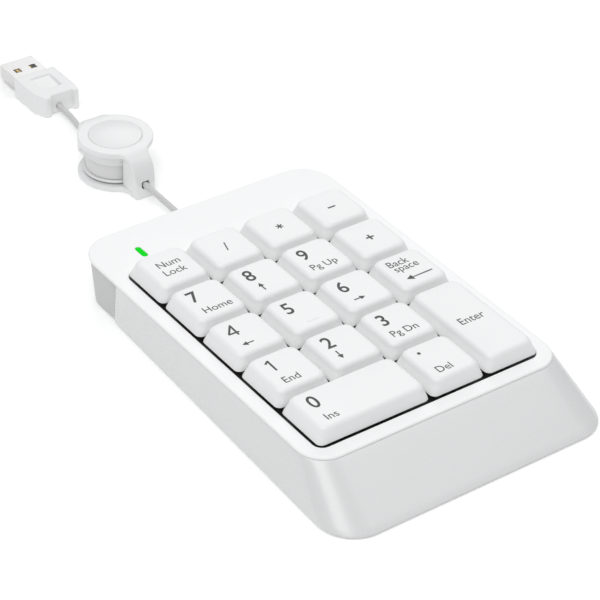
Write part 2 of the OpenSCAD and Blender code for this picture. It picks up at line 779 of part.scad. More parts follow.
drum_z = reel_base_t + 0.6;
drum_r = cavity_r - 0.4;
flange_t = 0.8;
winding_z = drum_z + flange_t + 0.05;
winding_h = 5.4;
cup_z = winding_z + winding_h + 0.05;
cup_h = roof_under - 0.5 - cup_z;
hub_r = 3.4;
module reel_drum() color("whitesmoke")
    translate([0, reel_y, drum_z]) difference() {
        union() {
            cylinder(r = drum_r, h = flange_t);
            cylinder(r = hub_r, h = cup_z - drum_z + eps);
            translate([0, 0, cup_z - drum_z]) cylinder(r = drum_r, h = cup_h);
        }
        translate([0, 0, -1]) cylinder(r = axle_r + stem_clearance, h = reel_h);
        translate([0, 0, cup_z - drum_z + flange_t]) cylinder(r = drum_r - 1, h = cup_h);
    }

module wound_cable() color("whitesmoke")
    translate([0, reel_y, winding_z]) rotate_extrude()
        translate([hub_r + 0.05, 0]) square([drum_r - 0.6 - hub_r, winding_h]);

spring_z = cup_z + flange_t + 0.2;
spring_h = 1.3;
spring_t = 0.25;
spring_in = 2;
spring_out = drum_r - 1.4;
spring_turns = 5;
function spiral(side) =
    [for (i = [0:24 * spring_turns])
        let (r = mix(spring_in, spring_out, i / (24 * spring_turns)) + side * spring_t / 2)
        r * [cos(15 * i), sin(15 * i)]];
module reel_spring() color(steel)
    translate([0, reel_y, spring_z]) linear_extrude(spring_h) {
        polygon(concat(spiral(1), flip(spiral(-1))));
        translate([0.2, -spring_t / 2]) square([spring_in - 0.1, spring_t]);
    }

module reel_axle() color(steel)
    translate([0, reel_y, 0.8]) difference() {
        cylinder(r = axle_r, h = roof_under - 0.8 + 0.6);
        translate([0, -0.2, spring_z - 0.8 - 0.1]) cube([axle_r + 1, 0.4, reel_h]);
    }

// --- plug ---

plug_x = 3.5;
grip_rear_y = 154.7;
grip_front_y = grip_rear_y + grip_l;
shell_w = 12;
shell_h = 4.5;
shell_out = 12;
shell_in = 6;
shell_sheet = 0.3;
shell_z = 1.5;
plug_lead_z = 2.6;
ear_side = 2;
ear_l = 5;

module plug_grip() color(white)
    translate([plug_x, 0, 0]) difference() {
        linear_extrude(grip_h) polygon([
            [-grip_w / 2, grip_front_y], [-grip_w / 2, grip_rear_y + ear_l],
            [-grip_w / 2 + ear_side, grip_rear_y], [-grip_w / 2 + 4, grip_rear_y],
            [-grip_w / 2 + 4.3, grip_rear_y + 1.2], [grip_w / 2 - 2.6, grip_rear_y + 1.2],
            [grip_w / 2 - 2.3, grip_rear_y], [grip_w / 2 - 0.6, grip_rear_y],
            [grip_w / 2, grip_rear_y + ear_l - 1.5], [grip_w / 2, grip_front_y]]);
        // sloping thumb recess in the top
        translate([-3.4, grip_front_y - 3.4, grip_h + eps]) rotate([4, 0, 0])
            translate([0, -8, -0.6]) cube([7.2, 8, 2]);
        translate([-shell_w / 2 - 0.02, grip_front_y - shell_in, shell_z - 0.02])
            cube([shell_w + 0.04, shell_in + 1, shell_h + 0.04]);
        translate([0, grip_rear_y - 1, plug_lead_z]) rotate([-90, 0, 0])
            cylinder(r = lead_d / 2 + screw_gap, h = 6.2);
    }

module plug_shell() color(steel)
    translate([plug_x, grip_front_y - shell_in, shell_z]) difference() {
        translate([-shell_w / 2, 0, 0]) cube([shell_w, shell_in + shell_out, shell_h]);
        translate([-shell_w / 2 + shell_sheet, -1, shell_sheet])
            cube([shell_w - 2 * shell_sheet, 30, shell_h - 2 * shell_sheet]);
        for (side = [-1, 1])
            translate([side * 2.9 - 1.15, shell_in + shell_out - 7.6, -1]) cube([2.3, 2.4, 10]);
    }

tongue_t = 1.9;
module plug_tongue() color(white)
    translate([plug_x, grip_front_y - shell_in, shell_z + shell_sheet + 0.02]) {
        translate([-5.6, 0.2, 0]) cube([11.2, 5.4, shell_h - 2 * shell_sheet - 0.04]);
        translate([-5.6, 5.5, 0]) cube([11.2, shell_out - 0.2, tongue_t]);
    }

module plug_contacts() color("gold")
    for (i = [0:3])
        translate([plug_x - 3.5 + i * 2.33 - 0.5, grip_front_y + 0.2,
            shell_z + shell_sheet + 0.02 + tongue_t])
            cube([1, i % 3 == 0 ? 10.4 : 9.4, 0.15]);

top_plate();
outer_skirt();
lower_housing();
rubber_feet();
case_screws();
key_frame();
enter_stabiliser();
zero_stabiliser();
dome_sheet();
membrane_top();
membrane_spacer();
membrane_bottom();
backing_plate();
stack_screws();
controller_board();
controller_chip();
status_led();
light_pipe();
tail_clamp();
board_screws();
cable_connector();
lead_wires();
strain_relief();
keypad_lead();
reel_upper_shell();
reel_lower_shell();
reel_cap();
reel_drum();
reel_spring();
reel_axle();
wound_cable();
plug_lead();
plug_grip();
plug_shell();
plug_tongue();
plug_contacts();
for (k = KEYS) key_piece(k);
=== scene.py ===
import math

import bmesh
import bpy
from mathutils import Matrix, Vector


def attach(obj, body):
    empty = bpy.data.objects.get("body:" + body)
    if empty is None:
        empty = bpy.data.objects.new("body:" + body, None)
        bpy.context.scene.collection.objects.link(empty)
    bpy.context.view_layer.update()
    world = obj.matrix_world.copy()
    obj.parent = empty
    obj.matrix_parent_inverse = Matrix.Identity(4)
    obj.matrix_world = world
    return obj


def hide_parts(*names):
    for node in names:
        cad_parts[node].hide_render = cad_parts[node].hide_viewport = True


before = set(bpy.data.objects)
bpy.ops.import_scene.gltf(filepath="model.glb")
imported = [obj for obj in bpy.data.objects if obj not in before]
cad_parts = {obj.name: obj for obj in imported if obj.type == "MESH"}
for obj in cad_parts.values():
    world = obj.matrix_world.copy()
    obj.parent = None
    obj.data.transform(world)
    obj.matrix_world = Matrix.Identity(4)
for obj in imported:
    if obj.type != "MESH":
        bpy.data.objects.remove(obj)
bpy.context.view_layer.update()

MM = 0.001

# --- view, floor and light ---
# The keypad stands on a plain pale table under four soft lights. The view is from the
# front left, above it, with a long lens.

view_data = bpy.data.cameras.new("view")
view_data.sensor_width = 36
view_data.lens = 144
view_data.clip_start = 0.01
view_data.clip_end = 20
view = bpy.data.objects.new("view", view_data)
bpy.context.scene.collection.objects.link(view)
view_right = Vector((0.81214, -0.58256, 0.03244)).normalized()
view_back = Vector((-0.48805, -0.64782, 0.58491)).normalized()
view_up = view_back.cross(view_right)
view.matrix_world = Matrix.Translation((-0.33764, -0.43256, 0.41475)) @ Matrix(
    (view_right, view_up, view_back)).transposed().to_4x4()
bpy.context.scene.camera = view
bpy.context.scene.view_settings.view_transform = "Standard"


class Channel:
    """One output in a material's node tree. A sum or product on it adds a Math node."""

    def __init__(self, finish, socket):
        self.finish, self.socket = finish, socket

    def maths(self, operation, first, second):
        return self.finish.node("ShaderNodeMath", {"operation": operation},
                                {0: first, 1: second})

    def __add__(self, other):
        return self.maths("ADD", self, other)

    def __sub__(self, other):
        return self.maths("SUBTRACT", self, other)

    def __rsub__(self, other):
        return self.maths("SUBTRACT", other, self)

    def __mul__(self, other):
        return self.maths("MULTIPLY", self, other)

    def __gt__(self, other):
        return self.maths("GREATER_THAN", self, other)

    __radd__ = __add__
    __rmul__ = __mul__


class Finish:
    """A material being made: its tree, its shader and its place on the object."""

    def __init__(self, name, **constants):
        self.material = bpy.data.materials.new(name)
        self.material.use_nodes = True
        self.tree = self.material.node_tree
        self.shader = self.tree.nodes["Principled BSDF"]
        for socket, value in constants.items():
            self.shader.inputs[socket.replace("_", " ")].default_value = value
        self.place = self.node("ShaderNodeTexCoord", output="Object")

    def node(self, kind, settings=None, sockets=None, output=0):
        made = self.tree.nodes.new(kind)
        for name, value in (settings or {}).items():
            setattr(made, name, value)
        for name, value in (sockets or {}).items():
            self.feed(made.inputs[name], value)
        return Channel(self, made.outputs[output])

    def feed(self, socket, value):
        if isinstance(value, Channel):
            self.tree.links.new(value.socket, socket)
        else:
            socket.default_value = value

    def set(self, socket, value):
        self.feed(self.shader.inputs[socket], value)

    def noise(self, scale, detail=2.0, place=None):
        return self.node("ShaderNodeTexNoise", {},
                         {"Vector": place or self.place, "Scale": scale, "Detail": detail})

    def blend(self, factor, first, second):
        return self.node("ShaderNodeMix", {"data_type": "RGBA"},
                         {0: factor, 6: first, 7: second}, 2)

    def bump(self, height, strength, distance):
        self.set("Normal", self.node(
            "ShaderNodeBump", {},
            {"Height": height, "Strength": strength, "Distance": distance}))


def grey(value, warmth=0.0):
    return (value + warmth, value, value - warmth, 1)


table = Finish("table_top", Roughness=0.7, Emission_Strength=0.19)
table_cloud = table.noise(4.0)
table.set("Base Color", table.blend(table_cloud, grey(0.9), grey(0.93)))
table.set("Emission Color", table.blend(table_cloud, grey(0.99), grey(1.0)))
floor_mesh = bpy.data.meshes.new("floor")
FLOOR_HALF = 4.0
floor_mesh.from_pydata(
    [(x * FLOOR_HALF, y * FLOOR_HALF, 0) for x, y in ((-1, -1), (1, -1), (1, 1), (-1, 1))],
    [], [(0, 1, 2, 3)])
floor_mesh.materials.append(table.material)
floor = bpy.data.objects.new("floor", floor_mesh)
bpy.context.scene.collection.objects.link(floor)

room = bpy.data.worlds.new("room")
room.use_nodes = True
room.node_tree.nodes["Background"].inputs["Color"].default_value = (0.97, 0.985, 1, 1)
room.node_tree.nodes["Background"].inputs["Strength"].default_value = 0.42
bpy.context.scene.world = room


def soft_box(name, place, target, size, power):
    lamp = bpy.data.lights.new(name, "AREA")
    lamp.shape, lamp.size, lamp.energy = "DISK", size, power
    stand = bpy.data.objects.new(name, lamp)
    stand.location = place
    stand.rotation_euler = (Vector(target) - Vector(place)).to_track_quat("-Z", "Y").to_euler()
    bpy.context.scene.collection.objects.link(stand)


soft_box("top_light", (-0.2, 0.1, 1.1), (0, 0.02, 0), 0.9, 3.7)
soft_box("front_panel", (0.6, -0.35, 1.1), (0, 0, 0), 0.6, 1.3)
soft_box("corner_light", (-0.48, -0.32, 0.96), (0, 0, 0), 0.62, 2.6)
soft_box("back_panel", (0.58, 0.78, 0.71), (0, 0.15, 0), 0.7, 1.8)


# --- leads ---
# The two short ends of the lead that the reel leaves out: a soft pale grey PVC jacket
# round four thin wires. They run through the reel's square holes.

def mesh_piece(name, bm, material, crease=32.0, turn_out=True):
    """A finished mesh: normals out, smooth but for its creases, linked at the origin."""
    if turn_out:
        bmesh.ops.recalc_face_normals(bm, faces=bm.faces)
    for face in bm.faces:
        face.smooth = True
    limit = math.radians(crease)
    for edge in bm.edges:
        edge.smooth = len(edge.link_faces) == 2 and edge.calc_face_angle(0) < limit
    mesh = bpy.data.meshes.new(name)
    bm.to_mesh(mesh)
    bm.free()
    mesh.materials.append(material)
    piece = bpy.data.objects.new(name, mesh)
    bpy.context.scene.collection.objects.link(piece)
    return piece


def settle(piece, body, slot, *nodes):
    """The piece rides on its body and stands for its CAD nodes, which it hides; its slot is not used.
    """
    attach(piece, body)
    if nodes:
        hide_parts(*nodes)
    return piece


def loft(bm, rings, fill_ends=True):
    """Faces between rings of as many points each, in millimetres."""
    made = [[bm.verts.new(Vector(p) * MM) for p in ring] for ring in rings]
    for low, high in zip(made, made[1:]):
        count = len(low)
        for i in range(count):
            j = (i + 1) % count
            bm.faces.new((low[i], low[j], high[j], high[i]))
    if fill_ends:
        bm.faces.new(made[0][::-1])
        bm.faces.new(made[-1])
    return made


def smooth_line(points, parts=5):
    """A finer line through the points, as a spline draws it."""
    ends = [2 * points[0] - points[1], *points, 2 * points[-1] - points[-2]]
    line = []
    for a, b, c, d in zip(ends, ends[1:], ends[2:], ends[3:]):
        for k in range(parts):
            t = k / parts
            line.append(0.5 * (2 * b + (c - a) * t + (2 * a - 5 * b + 4 * c - d) * t * t
                               + (3 * b - a - 3 * c + d) * t ** 3))
    return [*line, points[-1]]


def jacket(name, base, low, high):
    skin = Finish(name, Roughness=0.42, Specular_IOR_Level=0.45)
    cloud = skin.noise(260.0, 3.0)
    fine = skin.noise(5200.0, 1.0)
    skin.set("Base Color", skin.blend(cloud, grey(base - 0.025, 0.004), grey(base, 0.002)))
    skin.set("Roughness", low + (high - low) * cloud)
    skin.bump(fine, 0.12, 0.00003)
    return skin.material


LEAD_SIDES = 20
LEAD_D = 2.0
lead_jacket = jacket("lead_jacket", 0.62, 0.36, 0.5)


def lead(name, route, node):
    line = smooth_line([Vector(p) for p in route])
    bm = bmesh.new()
    rings = []
    for i, point in enumerate(line):
        ahead = (line[min(i + 1, len(line) - 1)] - line[max(i - 1, 0)]).normalized()
        across = ahead.cross(Vector((0, 0, 1))).normalized()
        above = across.cross(ahead)
        ring = []
        for k in range(LEAD_SIDES):
            turn = 2 * math.pi * k / LEAD_SIDES
            # two shallow grooves along the jacket's sides
            r = LEAD_D / 2 * (1 - 0.1 * math.exp(-(math.sin(turn) / 0.22) ** 2))
            ring.append(point + r * (math.cos(turn) * across + math.sin(turn) * above))
        rings.append(ring)
    loft(bm, rings)
    piece = settle(mesh_piece(name, bm, lead_jacket, 50), "keypad", "cable_jacket", node)
    path = [tuple(p * MM) for p in line]
    length = sum((b - a).length for a, b in zip(line, line[1:])) * MM
    return piece, path, length


keypad_end, keypad_path, keypad_length = lead("lead_keypad_end", [
    (0, 60, 4.4), (0, 64.5, 4.4), (0, 69, 4.4), (0.1, 73.5, 4.2), (0.3, 78, 3.9),
    (0.4, 82.5, 3.8), (0.4, 87, 3.9), (0.2, 91.5, 4.2), (0, 96, 4.5), (0, 100.5, 4.6),
    (0, 105.4, 4.6)], "keypad_lead")
plug_end, plug_path, plug_length = lead("lead_plug_end", [
    (0, 125.6, 4.6), (0, 132, 4.6), (0.3, 136, 4.3), (1.1, 139.5, 3.7), (2.2, 143.5, 3),
    (3, 147.5, 2.6), (3.4, 151.5, 2.5), (3.5, 155.5, 2.6), (3.5, 159.5, 2.6)], "plug_lead")


# --- strain relief ---
# A soft sleeve moulded round the lead where it leaves the keypad, with three ring
# grooves so that it bends before the lead does.

def lathe(bm, profile, centre, axis="z", sides=48):
    """Turns a closed profile of (radius, height) round an axis, in millimetres."""
    rings = []
    for r, h in profile:
        ring = []
        for k in range(sides):
            turn = 2 * math.pi * k / sides
            x, y = max(r, 0.001) * math.cos(turn), max(r, 0.001) * math.sin(turn)
            ring.append(Vector(centre) + (Vector((x, y, h)) if axis == "z" else Vector((x, h, -y))))
        rings.append(ring)
    loft(bm, rings)
    bmesh.ops.remove_doubles(bm, verts=bm.verts, dist=0.003 * MM)


sleeve_profile = [(1.06, -1.4), (2.55, -1.4), (2.6, -1.3), (2.6, -0.1), (2.5, 0), (1.85, 0)]
for ring_y in (5.1, 5.9, 6.7):
    wide = 1.88 - (ring_y - 5) * 0.2
    sleeve_profile += [(wide, ring_y - 0.3), (wide - 0.22, ring_y - 0.12),
                       (wide - 0.22, ring_y + 0.12), (wide - 0.05, ring_y + 0.3)]
sleeve_profile += [(1.38, 7.2), (1.3, 7.3), (1.06, 7.3)]
bm = bmesh.new()
lathe(bm, sleeve_profile, (0, 62, 4.4), "y", 40)
settle(mesh_piece("strain_relief_sleeve", bm, lead_jacket, 40), "keypad", "cable_jacket",
       "strain_relief")


# --- cable reel ---
# Two clipped ABS covers with a hollow neck at each end. Between them a drum turns on a
# steel pin against a coil spring, and the flat cable winds on it in twelve turns.

def moulded(name, base, rough, warmth=0.0, grain=2400.0, depth=0.00002, coat=0.0):
    """Injection-moulded plastic: a fine spark texture, faint flow clouding."""
    skin = Finish(name, Roughness=rough, Coat_Weight=coat, Coat_Roughness=0.25,
                  Specular_IOR_Level=0.5)
    cloud = skin.noise(45.0, 4.0)
    fine = skin.noise(grain, 2.0)
    skin.set("Base Color", skin.blend(cloud, grey(base * 0.975, warmth), grey(base, warmth)))
    skin.set("Roughness", rough - 0.05 + 0.1 * fine)
    skin.bump(fine, 0.25, depth)
    return skin.material


def cad_copy(*nodes):
    """The merged surfaces of CAD nodes as one new mesh."""
    bm = bmesh.new()
    for node in nodes:
        bm.from_mesh(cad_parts[node].data)
    bmesh.ops.remove_doubles(bm, verts=bm.verts, dist=0.001 * MM)
    return bm


def softened(name, material, voxel, passes, *nodes):
    """CAD nodes remeshed finely, with their hard edges rubbed round."""
    piece = mesh_piece(name, cad_copy(*nodes), material, 180, False)
    remesh = piece.modifiers.new("remesh", "REMESH")
    remesh.mode, remesh.voxel_size, remesh.use_smooth_shade = "VOXEL", voxel * MM, True
    rub = piece.modifiers.new("rub", "SMOOTH")
    rub.factor, rub.iterations = 0.5, passes
    bpy.context.view_layer.update()
    finished = bpy.data.meshes.new_from_object(
        piece.evaluated_get(bpy.context.evaluated_depsgraph_get()))
    piece.modifiers.clear()
    piece.data = finished
    return piece


reel_white = moulded("reel_white", 0.86, 0.34, coat=0.15)
REEL_Y = 115.5
settle(softened("reel_upper_cover", reel_white, 0.24, 7, "reel_upper_shell"),
       "keypad", "white_plastic", "reel_upper_shell")
settle(softened("reel_lower_cover", reel_white, 0.24, 3, "reel_lower_shell"),
       "keypad", "white_plastic", "reel_lower_shell")

button_profile = [(0, 13.4), (8.15, 13.4), (8.38, 13.55), (8.4, 13.75)]
for k in range(13):
    r = 8.2 * (1 - k / 12)
    button_profile.append((r, 13.98 + 1.0 * (1 - (r / 8.4) ** 2)))
bm = bmesh.new()
lathe(bm, button_profile, (0, REEL_Y, 0), sides=96)
settle(mesh_piece("reel_button", bm, reel_white, 30), "keypad", "white_plastic", "reel_cap")

drum_profile = [
    (1.56, 2.2), (10.1, 2.2), (10.3, 2.35), (10.3, 2.85), (10.15, 3.0), (3.4, 3.0),
    (3.4, 8.5), (10.1, 8.5), (10.3, 8.65), (10.3, 9.2), (10.2, 9.35), (10.2, 9.55),
    (10.3, 9.7), (10.3, 11.5), (10.15, 11.7), (9.45, 11.7), (9.3, 11.55), (9.3, 9.3),
    (1.56, 9.3)]
bm = bmesh.new()
lathe(bm, drum_profile + drum_profile[:1], (0, REEL_Y, 0), sides=96)
settle(mesh_piece("reel_drum_turned", bm, reel_white, 30), "drum", "white_plastic",
       "reel_drum")


def grown(name, tree, material):
    """The mesh that a Geometry Nodes tree makes, as a plain mesh."""
    piece = bpy.data.objects.new(name, bpy.data.meshes.new(name))
    bpy.context.scene.collection.objects.link(piece)
    work = piece.modifiers.new("nodes", "NODES")
    work.node_group = tree
    bpy.context.view_layer.update()
    finished = bpy.data.meshes.new_from_object(
        piece.evaluated_get(bpy.context.evaluated_depsgraph_get()))
    piece.modifiers.clear()
    piece.data = finished
    if not finished.materials:
        finished.materials.append(material)
    return piece


class Recipe:
    """A Geometry Nodes tree with named inputs, ending in plain geometry."""

    def __init__(self, name, numbers):
        self.tree = bpy.data.node_groups.new(name, "GeometryNodeTree")
        self.tree.interface.new_socket("Geometry", in_out="OUTPUT",
                                       socket_type="NodeSocketGeometry")
        for label, value in numbers.items():
            kind = "NodeSocketInt" if isinstance(value, int) else "NodeSocketFloat"
            socket = self.tree.interface.new_socket(label, in_out="INPUT", socket_type=kind)
            socket.default_value = value
        self.inputs = self.tree.nodes.new("NodeGroupInput").outputs

    def node(self, kind, settings=None, sockets=None, output=0):
        made = self.tree.nodes.new(kind)
        for name, value in (settings or {}).items():
            setattr(made, name, value)
        for name, value in (sockets or {}).items():
            if isinstance(value, bpy.types.NodeSocket):
                self.tree.links.new(value, made.inputs[name])
            else:
                made.inputs[name].default_value = value
        return made.outputs[output]

    def maths(self, operation, first, second=0.0):
        return self.node("ShaderNodeMath", {"operation": operation}, {0: first, 1: second})

    def vector(self, x=0.0, y=0.0, z=0.0):
        return self.node("ShaderNodeCombineXYZ", {}, {"X": x, "Y": y, "Z": z})

    def finish(self, geometry, material):
        real = self.node("GeometryNodeRealizeInstances", {}, {"Geometry": geometry})
        painted = self.node("GeometryNodeSetMaterial", {},
                            {"Geometry": real, "Material": material})
        out = self.tree.nodes.new("NodeGroupOutput")
        self.tree.links.new(painted, out.inputs[0])
        return self.tree


ribbon_white = jacket("ribbon_white", 0.76, 0.28, 0.4)
winding = Recipe("winding", {"Turns": 12, "Inner radius": 0.00345, "Pitch": 0.00051,
                             "Ribbon height": 0.0052, "Ribbon thickness": 0.00042,
                             "Points a turn": 64, "Centre Y": REEL_Y * MM,
                             "Centre Z": 5.75 * MM})
spiral_points = winding.maths("MULTIPLY", winding.inputs["Turns"],
                              winding.inputs["Points a turn"])
spiral = winding.node("GeometryNodeMeshLine", {"mode": "OFFSET"},
                      {"Count": winding.maths("ADD", spiral_points, 1.0)})
step = winding.node("GeometryNodeInputIndex")
turn = winding.maths("DIVIDE", step, winding.inputs["Points a turn"])
radius = winding.maths("ADD", winding.inputs["Inner radius"],
                       winding.maths("MULTIPLY", turn, winding.inputs["Pitch"]))
angle = winding.maths("MULTIPLY", turn, 2 * math.pi)
spiral = winding.node("GeometryNodeSetPosition", {}, {
    "Geometry": spiral,
    "Position": winding.vector(
        winding.maths("MULTIPLY", radius, winding.maths("COSINE", angle)),
        winding.maths("ADD", winding.inputs["Centre Y"],
                      winding.maths("MULTIPLY", radius, winding.maths("SINE", angle))),
        winding.inputs["Centre Z"])})
spiral = winding.node("GeometryNodeMeshToCurve", {}, {"Mesh": spiral})
spiral = winding.node("GeometryNodeSetCurveNormal", {"mode": "Z_UP"}, {"Curve": spiral})
ribbon = winding.node("GeometryNodeCurvePrimitiveQuadrilateral", {"mode": "RECTANGLE"}, {
    "Width": winding.inputs["Ribbon thickness"], "Height": winding.inputs["Ribbon height"]})
ribbon = winding.node("GeometryNodeFilletCurve", {"mode": "POLY"},
                      {"Curve": ribbon, "Count": 3, "Radius": 0.00018})
swept = winding.node("GeometryNodeCurveToMesh", {},
                     {"Curve": spiral, "Profile Curve": ribbon, "Fill Caps": True})
wound = grown("wound_ribbon", winding.finish(swept, ribbon_white), ribbon_white)
bm = bmesh.new()
bm.from_mesh(wound.data)
bpy.data.objects.remove(wound)
settle(mesh_piece("wound_ribbon_cable", bm, ribbon_white, 40), "drum", "cable_jacket",
       "wound_cable")


# --- plug ---
# An overmoulded PVC grip on a folded steel shell. Inside the shell a nylon tongue holds
# four gold-plated contacts, and two square windows let the socket's springs click in.

plug_white = moulded("plug_white", 0.87, 0.38)
settle(softened("plug_grip_moulding", plug_white, 0.22, 4, "plug_grip"),
       "keypad", "white_plastic", "plug_grip")

plated = Finish("plug_steel", Metallic=1.0, Roughness=0.3)
along = plated.node("ShaderNodeMapping", {}, {"Vector": plated.place, "Scale": (6000, 90, 6000)})
drawn = plated.noise(1.0, 3.0, along)
plated.set("Base Color", plated.blend(drawn, grey(0.62, 0.006), grey(0.74, 0.004)))
plated.set("Roughness", 0.24 + 0.14 * drawn)
plated.bump(drawn, 0.1, 0.00001)
settle(mesh_piece("plug_shell_folded", cad_copy("plug_shell"),
                  plated.material, 30, False), "keypad", "plug_metal", "plug_shell")


# The lead is one cable from the keypad to the plug, and the reel sits in its middle.


# --- lower housing ---
# The ABS tray that carries everything, in a grey darker than the skirt: partly its own tone,
# partly painted shade for its rear end. That end stands open behind the skirt, set back half a
# millimetre, with a leaning rear wall that the lead leaves through.

# base 0.6: the tray's own grey darkened with painted shade for its recessed rear end
tray_tone_and_painted_shade = moulded("tray_tone_and_painted_shade", 0.6, 0.46)
settle(mesh_piece("lower_tray", cad_copy("lower_housing"), tray_tone_and_painted_shade, 24,
                  False), "keypad", "housing_plastic", "lower_housing")


# --- feet and screws ---
# Four die-cut rubber pads sit in round recesses under the tray, and four crosshead
# screws hold tray and top plate together.

def on_four_points(name, span_x, front, rear, shape, material):
    """Copies a turned shape to four mirrored points with Geometry Nodes."""
    made = Recipe(name, {"Half span front": span_x[0], "Half span rear": span_x[1],
                         "Front Y": front, "Rear Y": rear})
    joined = made.node("GeometryNodeJoinGeometry")
    for side in (-1.0, 1.0):
        for label, y in (("Half span front", "Front Y"), ("Half span rear", "Rear Y")):
            place = made.vector(made.maths("MULTIPLY", made.inputs[label], side),
                                made.inputs[y])
            spot = made.node("GeometryNodeMeshLine", {"mode": "OFFSET"},
                             {"Count": 1, "Start Location": place})
            made.tree.links.new(spot, joined.node.inputs[0])
    source = made.node("GeometryNodeObjectInfo", {}, {"Object": shape}, 4)
    copies = made.node("GeometryNodeInstanceOnPoints", {}, {"Points": joined,
                                                            "Instance": source})
    return grown(name, made.finish(copies, material), material)


def set_of_four(name, slot, node, profile, span_x, front, rear, material, cross=False):
    bm = bmesh.new()
    lathe(bm, profile, (0, 0, 0), sides=40)
    shape = mesh_piece(name + "_one", bm, material, 40)
    if cross:
        cut = bmesh.new()
        for turn in (0, math.pi / 2):
            bar = bmesh.ops.create_cube(cut, size=1.0)["verts"]
            bmesh.ops.scale(cut, vec=(3.2 * MM, 0.6 * MM, 1.8 * MM), verts=bar)
            bmesh.ops.rotate(cut, cent=(0, 0, 0), matrix=Matrix.Rotation(turn, 3, "Z"), verts=bar)
            bmesh.ops.translate(cut, vec=(0, 0, 1.3 * MM), verts=bar)
        tool = mesh_piece(name + "_cross", cut, material, 40)
        slotting = shape.modifiers.new("cross", "BOOLEAN")
        slotting.object, slotting.operation, slotting.solver = tool, "DIFFERENCE", "EXACT"
        slotting.use_self = True
        bpy.context.view_layer.update()
        shape.data = bpy.data.meshes.new_from_object(
            shape.evaluated_get(bpy.context.evaluated_depsgraph_get()))
        shape.modifiers.clear()
        bpy.data.objects.remove(tool)
    made = on_four_points(name, span_x, front, rear, shape, material)
    bpy.data.objects.remove(shape)
    return settle(made, "keypad", slot, node)


pad_rubber = moulded("pad_rubber", 0.06, 0.8, grain=3200.0, depth=0.00005)
set_of_four("rubber_pads", "rubber", "rubber_feet",
            [(0, 0), (4.7, 0), (4.95, 0.12), (5, 0.35), (5, 1.2), (0, 1.2)],
            (0.034, 0.034), -0.060, 0.050, pad_rubber)

FRONT_POST, REAR_POST = (34, -48.8), (36, 60)
screw_steel = Finish("screw_steel", Metallic=1.0, Roughness=0.34)
screw_cloud = screw_steel.noise(1400.0, 3.0)
screw_steel.set("Base Color", screw_steel.blend(screw_cloud, grey(0.5, 0.01), grey(0.62, 0.01)))
screw_steel.set("Roughness", 0.28 + 0.18 * screw_cloud)
set_of_four("case_screw_set", "steel", "case_screws",
            [(0, 1.3), (2.6, 1.3), (2.95, 1.6), (3, 2.1), (2.9, 3.4), (1.2, 3.4), (1.2, 9.3),
             (0.8, 9.5), (0, 9.5)],
            (FRONT_POST[0] * MM, REAR_POST[0] * MM), FRONT_POST[1] * MM, REAR_POST[1] * MM,
            screw_steel.material, True)


# --- skirt ---
# One light grey ABS moulding round the front and both sides, open at the rear. It
# slopes out to a broad apron in front of the keys and is glossier than the plate.

BODY_LOW, PLATE_LOW, LIP, PLATE_HIGH = 0.6, 12.2, 13.2, 13.8
FRONT_Y, PLATE_FRONT_Y, REAR_Y, SKIRT_END_Y = -69.65, -51.0, 69.65, 47.3
SKIRT_WALL = 1.6
FOOT_HALF_X, REAR_FOOT_HALF_X, PLATE_HALF_X = 47.2, 43.2, 43.0
FOOT_FRONT_R, PLATE_FRONT_R, PLATE_REAR_R = 11.5, 8.5, 11.0


def mix(a, b, t):
    return a + (b - a) * t


def skirt_path(z, inset, end_inset):
    """The skirt's open outline at one height, from its left rear end to its right one."""
    t = (z - BODY_LOW) / (LIP - BODY_LOW)
    half = mix(FOOT_HALF_X, PLATE_HALF_X, t)
    rear_half = mix(REAR_FOOT_HALF_X, PLATE_HALF_X, t)
    front, corner = mix(FRONT_Y, PLATE_FRONT_Y, t), mix(FOOT_FRONT_R, PLATE_FRONT_R, t)
    r = corner - inset
    start_y, far_y = front + corner, REAR_Y - PLATE_REAR_R
    points = []
    for k in range(15):
        # the last millimetre before the end turns inwards
        y = SKIRT_END_Y - 1 if k == 0 else mix(SKIRT_END_Y - 1, start_y, k / 15)
        x = mix(half, rear_half, (y - start_y) / (far_y - start_y)) - inset
        points.append((-x, y))
    for k in range(5):
        turn = math.radians(90 * (1 - k / 5))
        x = mix(half, rear_half, (SKIRT_END_Y - start_y) / (far_y - start_y)) - inset
        points.insert(k, (-x + end_inset * (1 - math.cos(turn)), SKIRT_END_Y - 1 + math.sin(turn)))
    for k in range(17):
        turn = math.radians(90 * k / 16)
        points.append((-half + inset + r - r * math.cos(turn), front + inset + r - r * math.sin(turn)))
    mid = [(mix(-half + corner, 0, k / 8), front + inset) for k in range(1, 9)]
    left = points + mid
    return [(x, y, z) for x, y in left + [(-x, y) for x, y in left[-2::-1]]]


skirt_profile = [(BODY_LOW, SKIRT_WALL), (BODY_LOW, 0.45), (BODY_LOW + 0.12, 0.14),
                 (BODY_LOW + 0.45, 0.0)]
skirt_profile += [(mix(BODY_LOW, LIP, k / 8), 0.0) for k in range(1, 8)]
skirt_profile += [(LIP - 0.4, 0.0), (LIP - 0.14, 0.06), (LIP - 0.03, 0.3), (LIP - 0.02, SKIRT_WALL)]
bm = bmesh.new()
columns = [skirt_path(z, inset, 0.0 if inset > 1 else 1.0 - inset) for z, inset in skirt_profile]
sections = [[column[i] for column in columns] for i in range(len(columns[0]))]
loft(bm, sections)
skirt_grey = moulded("skirt_grey", 0.76, 0.28, grain=5000.0, depth=0.000004, coat=0.6)
settle(mesh_piece("skirt_moulding", bm, skirt_grey, 40), "keypad", "grey_plastic",
       "outer_skirt")


# --- top plate ---
# A white ABS frame with a rolled rim, one rounded opening for all the keys and a slot
# for the light. Bosses under it take the case screws.

